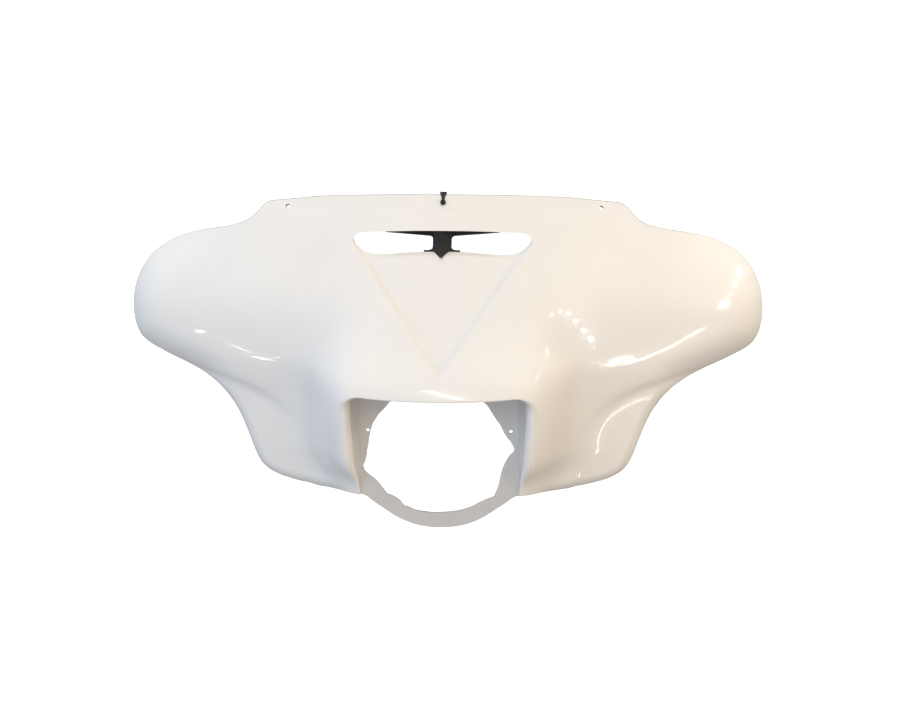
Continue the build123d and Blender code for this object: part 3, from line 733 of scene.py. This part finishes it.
for x, z, y_end in zip(boss_x, boss_z, boss_end_y):
    for side in (1, -1):
        post((side * x, 0.0, z), (0, 1, 0), y_end, boss_r, boss_hole_r, boss_hole_deep,
             lambda f: skin(f[:, 0], f[:, 2]) + 1.6)
out_dir = np.array([0.0, -1.0, deck_slope]) / math.hypot(1.0, deck_slope)
up_dir = np.array([0.0, deck_slope, 1.0]) / math.hypot(1.0, deck_slope)
deck_mid = np.array([0.0, nose_y + float(centre(255.0)), 255.0])
for u in divider_screw_u:
    b = deck_mid + up_dir * u

    def foot_on(f):
        s = np.full(len(f), 4.0)
        for _ in range(30):
            q = f - out_dir * s[:, None]
            s = s + 0.5 * (skin(q[:, 0], q[:, 2]) + 1.9 - q[:, 1])
        return s
    post(b, -out_dir, -divider_n, divider_boss_r, divider_screw_r, divider_screw_deep, foot_on, n=28)

# ---- small moulding nib on the top edge
nib_x = -25.8
nib_y = float(skin(np.array([nib_x]), np.array([313.0]))[0]) + 1.7
a = np.linspace(0, 2 * np.pi, 20, endpoint=False)
nib = [np.stack([nib_x + w * np.cos(a), nib_y + t * np.sin(a), np.full(20, z)], -1)
       for z, w, t in ((312.0, 3.9, 1.2), (313.8, 3.5, 1.15), (315.2, 2.2, 1.05), (316.3, 1.3, 0.9), (316.8, 0.6, 0.5))]
shell.grid(np.array(nib), PAINT, closed=True, flip=True)
fan = [(i, (i + 1) % 20, 20) for i in range(20)]
shell.patch(np.concatenate([nib[-1], [[nib_x, nib_y, 316.9]]]), np.tile([0.0, 0.0, 1.0], (21, 1)), fan, PAINT)
shell.patch(np.concatenate([nib[0], [[nib_x, nib_y, 312.0]]]), np.tile([0.0, 0.0, -1.0], (21, 1)), [t[::-1] for t in fan], PAINT)

shell_ob = shell.build("fairing_shell_skin", [paint, raw, edge_raw_and_shade, hole_shade_black, recess_shade_grey])
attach(shell_ob, "root")
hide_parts("fairing_shell")
print("shell", len(shell_ob.data.vertices), len(shell_ob.data.polygons))

# =====================================================================================================
# the small hardware keeps its CAD shape
# =====================================================================================================
for node, mat in (("vent_divider", black), ("windshield_screw", oxide), ("windshield_clip", spring),
                  ("threaded_inserts", brass), ("divider_screws", steel)):
    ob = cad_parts[node]
    ob.data.materials.clear()
    ob.data.materials.append(mat)

# =====================================================================================================
# stage, light and camera
# =====================================================================================================
scene = bpy.context.scene


def cyc(y_back=5.0, floor_z=-1.35, r=2.0, wide=12.0, near=-7.0):
    rows = [(near, floor_z), (-2.0, floor_z), (0.0, floor_z), (y_back - r, floor_z)]
    rows += [(y_back - r + r * math.sin(a), floor_z + r - r * math.cos(a)) for a in np.linspace(0, math.pi / 2, 17)[1:]]
    rows += [(y_back, 4.0), (y_back, 8.0)]
    v, f = [], []
    for y, z in rows:
        v += [(-wide, y, z), (wide, y, z)]
    for i in range(len(rows) - 1):
        f.append((2 * i, 2 * i + 1, 2 * i + 3, 2 * i + 2))
    me = bpy.data.meshes.new("floor")
    me.from_pydata(v, [], f)
    for p in me.polygons:
        p.use_smooth = True
    ob = bpy.data.objects.new("floor", me)
    scene.collection.objects.link(ob)
    return ob


floor = cyc()
floor.data.materials.append(two_tone("pale_paper", (0.90, 0.90, 0.90, 1), (0.92, 0.92, 0.92, 1), 3.0, 0.85, 0.03, spec=0.1))
floor.visible_glossy = False
floor.visible_diffuse = False
floor.visible_shadow = False
mid = Vector((0.0, 0.03, 0.12))


def toward(az, el, d):
    """A point at this azimuth (0 is the camera's side, positive to the right), elevation and distance."""
    az, el = math.radians(az), math.radians(el)
    return mid + d * Vector((math.sin(az) * math.cos(el), -math.cos(az) * math.cos(el), math.sin(el)))


def area(name, at, aim, size, power, color=(1, 1, 1)):
    d = bpy.data.lights.new(name, "AREA")
    d.shape = "RECTANGLE"
    d.size, d.size_y = size
    d.energy = power
    d.color = color
    o = bpy.data.objects.new(name, d)
    o.location = at
    o.rotation_euler = (Vector(aim) - Vector(at)).to_track_quat("-Z", "Y").to_euler()
    scene.collection.objects.link(o)
    return o


def soft_box(*args):
    """A broad light that only fills: it has no mirror image in the paint."""
    o = area(*args)
    o.visible_glossy = False
    return o


def strip(name, a, b, target, width, power, color, beam=None):
    """A thin lamp from a to b that faces target, with its beam kept within some degrees of it."""
    a, b, target = Vector(a), Vector(b), Vector(target)
    o = area(name, (a + b) / 2, target, (width, (b - a).length), power, color)
    y = (b - a).normalized()
    z = (o.location - target)
    if beam is None:
        z = (z - y * z.dot(y)).normalized()
    else:
        z = z.normalized()
        y = (y - z * y.dot(z)).normalized()
        half = math.radians(beam)
        o.data.spread = 2 * half
        o.data.size_y *= 1.5                                      # neighbours overlap
        o.data.energy = power * (1 - half / math.tan(half))
    o.rotation_euler = Matrix((y.cross(z), y, z)).transposed().to_euler()
    return o


warm, cool = (1.0, 0.77, 0.53), (0.70, 0.82, 1.0)
soft_box("top", (0.05, -0.5, 2.0), mid, (2.4, 1.8), 12.5, (1.0, 0.90, 0.74))
soft_box("window_left", toward(-50, 10, 1.8), mid, (1.3, 1.3), 9.0, cool)
soft_box("front", toward(4, 4, 3.0), mid, (2.2, 1.0), 15.0, (1.0, 0.94, 0.86))
soft_box("right", toward(58, 14, 1.8), mid, (1.2, 1.3), 8.0, warm)
glint = (1.0, 0.94, 0.84)
strip("glint_right_a_1", (0.823, -0.410, 0.556), (0.752, -0.538, 0.520), (0.145, 0.030, 0.169), 0.036, 0.510, glint, 3.0)
strip("glint_right_a_2", (0.752, -0.538, 0.520), (0.695, -0.614, 0.491), (0.157, 0.036, 0.171), 0.036, 0.333, glint, 3.0)
strip("glint_right_b_1", (0.695, -0.614, 0.491), (0.709, -0.657, 0.359), (0.167, 0.038, 0.169), 0.030, 0.628, glint, 2.2)
strip("glint_right_b_2", (0.709, -0.657, 0.359), (0.727, -0.675, 0.189), (0.177, 0.039, 0.159), 0.030, 0.772, glint, 2.2)
strip("glint_right_b_3", (0.727, -0.675, 0.189), (0.747, -0.662, 0.056), (0.187, 0.041, 0.145), 0.030, 0.607, glint, 2.2)
strip("glint_right_b_4", (0.747, -0.662, 0.056), (0.764, -0.643, -0.014), (0.197, 0.043, 0.133), 0.030, 0.335, glint, 2.2)
strip("glint_right_c_1", (1.145, -0.966, -0.500), (1.151, -0.877, -0.648), (0.241, 0.059, 0.103), 0.032, 0.605, glint, 5.0)
strip("glint_right_c_2", (1.151, -0.877, -0.648), (1.242, -0.889, -0.528), (0.268, 0.068, 0.104), 0.032, 0.527, glint, 5.0)
strip("glint_right_c_3", (1.242, -0.889, -0.528), (1.369, -0.877, -0.345), (0.300, 0.078, 0.116), 0.032, 0.781, glint, 5.0)
strip("glint_right_c_4", (1.369, -0.877, -0.345), (1.504, -0.830, -0.105), (0.333, 0.090, 0.131), 0.032, 0.976, glint, 5.0)
strip("glint_right_d_1", (1.104, -0.394, 0.315), (1.107, -0.330, 0.461), (0.377, 0.113, 0.169), 0.046, 0.597, glint, 7.0)
strip("glint_right_d_2", (1.107, -0.330, 0.461), (1.166, -0.030, 0.611), (0.384, 0.120, 0.180), 0.046, 1.275, glint, 7.0)
strip("glint_right_d_3", (1.166, -0.030, 0.611), (1.139, 0.341, 0.665), (0.391, 0.132, 0.192), 0.046, 1.406, glint, 7.0)
strip("glint_right_d_4", (1.139, 0.341, 0.665), (1.083, 0.568, 0.636), (0.399, 0.150, 0.204), 0.046, 0.882, glint, 7.0)
strip("glint_left_a_1", (-1.522, -0.745, -0.236), (-1.497, -0.763, -0.260), (-0.327, 0.088, 0.131), 0.045, 0.160, (1, 1, 1), 3.0)
strip("glint_left_b_1", (-1.369, -0.823, -0.405), (-1.279, -0.834, -0.521), (-0.269, 0.068, 0.111), 0.016, 0.300, (1, 1, 1), 3.0)
strip("glint_left_c_1", (-1.253, -0.806, -0.587), (-1.250, -0.789, -0.605), (-0.235, 0.058, 0.099), 0.035, 0.120, (1, 1, 1), 3.0)
strip("glint_brow", (-0.33, -2.10, 2.25), (0.21, -2.80, 1.25), (0.0, -0.065, 0.085), 0.14, 9.0, glint)
for o in (area("backdrop_left", (-3.0, 1.6, 2.2), (-1.0, 5.0, 0.4), (2.0, 1.0), 105.0),
          area("backdrop_right", (3.0, 1.6, 2.2), (1.0, 5.0, 0.4), (2.0, 1.0), 105.0),
          area("floor_wash", (0.0, 1.3, 1.6), (0.0, 3.2, -1.3), (4.0, 0.8), 55.0)):
    o.visible_glossy = False

world = bpy.data.worlds.new("studio")
world.use_nodes = True
wt = world.node_tree
bg = wt.nodes["Background"]
bg.inputs["Strength"].default_value = 1.0
tc = wt.nodes.new("ShaderNodeTexCoord")
sep = wt.nodes.new("ShaderNodeSeparateXYZ")
wt.links.new(tc.outputs["Generated"], sep.inputs["Vector"])
tint = ramp(wt, sep.outputs["X"], [(0.0, (0.78, 0.87, 1.0, 1)), (1.0, (1.0, 0.83, 0.64, 1))])
high = ramp(wt, sep.outputs["Z"], [(0.0, grey(0.44)), (1.0, grey(0.56))])
for r, lo, hi in ((tint, -1.0, 1.0), (high, -0.6, 0.8)):
    mr = wt.nodes.new("ShaderNodeMapRange")
    mr.inputs["From Min"].default_value = lo
    mr.inputs["From Max"].default_value = hi
    wt.links.new(r.inputs["Fac"].links[0].from_socket, mr.inputs["Value"])
    wt.links.new(mr.outputs["Result"], r.inputs["Fac"])
wt.links.new(tint.outputs["Color"], bg.inputs["Color"])
wt.links.new(high.outputs["Color"], bg.inputs["Strength"])
scene.world = world
scene.view_settings.view_transform = "Standard"
scene.view_settings.look = "None"
scene.view_settings.exposure = 0.0
scene.view_settings.gamma = 1.0

# camera: stands at azimuth 3.3 degrees, 13 degrees up, 2.2 m from the middle of the face
pos_az, axis_az, elev, dist = math.radians(3.3), math.radians(2.55), math.radians(13.0), 2.2
aim = Vector((0.0, -0.075, 0.1315))
eye = aim + dist * Vector((math.sin(pos_az) * math.cos(elev), -math.cos(pos_az) * math.cos(elev), math.sin(elev)))
b_ax = Vector((math.sin(axis_az) * math.cos(elev), -math.cos(axis_az) * math.cos(elev), math.sin(elev)))
r_ax = Vector((math.cos(axis_az), math.sin(axis_az), 0.0))
u_ax = b_ax.cross(r_ax)
focal_px = 1760.0
to_aim = aim - eye
deep = -to_aim.dot(b_ax)
off_x = 435.8 - focal_px * to_aim.dot(r_ax) / deep      # where the lens axis meets the picture
off_y = 360.0 + focal_px * to_aim.dot(u_ax) / deep
cam_d = bpy.data.cameras.new("camera")
cam_d.sensor_fit = "HORIZONTAL"
cam_d.sensor_width = 36.0
cam_d.lens = focal_px / 900.0 * 36.0
cam_d.shift_x = (450.0 - off_x) / 900.0
cam_d.shift_y = (off_y - 360.0) / 900.0
cam_d.clip_start, cam_d.clip_end = 0.05, 60.0
cam = bpy.data.objects.new("camera", cam_d)
m = Matrix((r_ax, u_ax, b_ax)).transposed().to_4x4()
m.translation = eye
cam.matrix_world = m
scene.collection.objects.link(cam)
scene.camera = cam
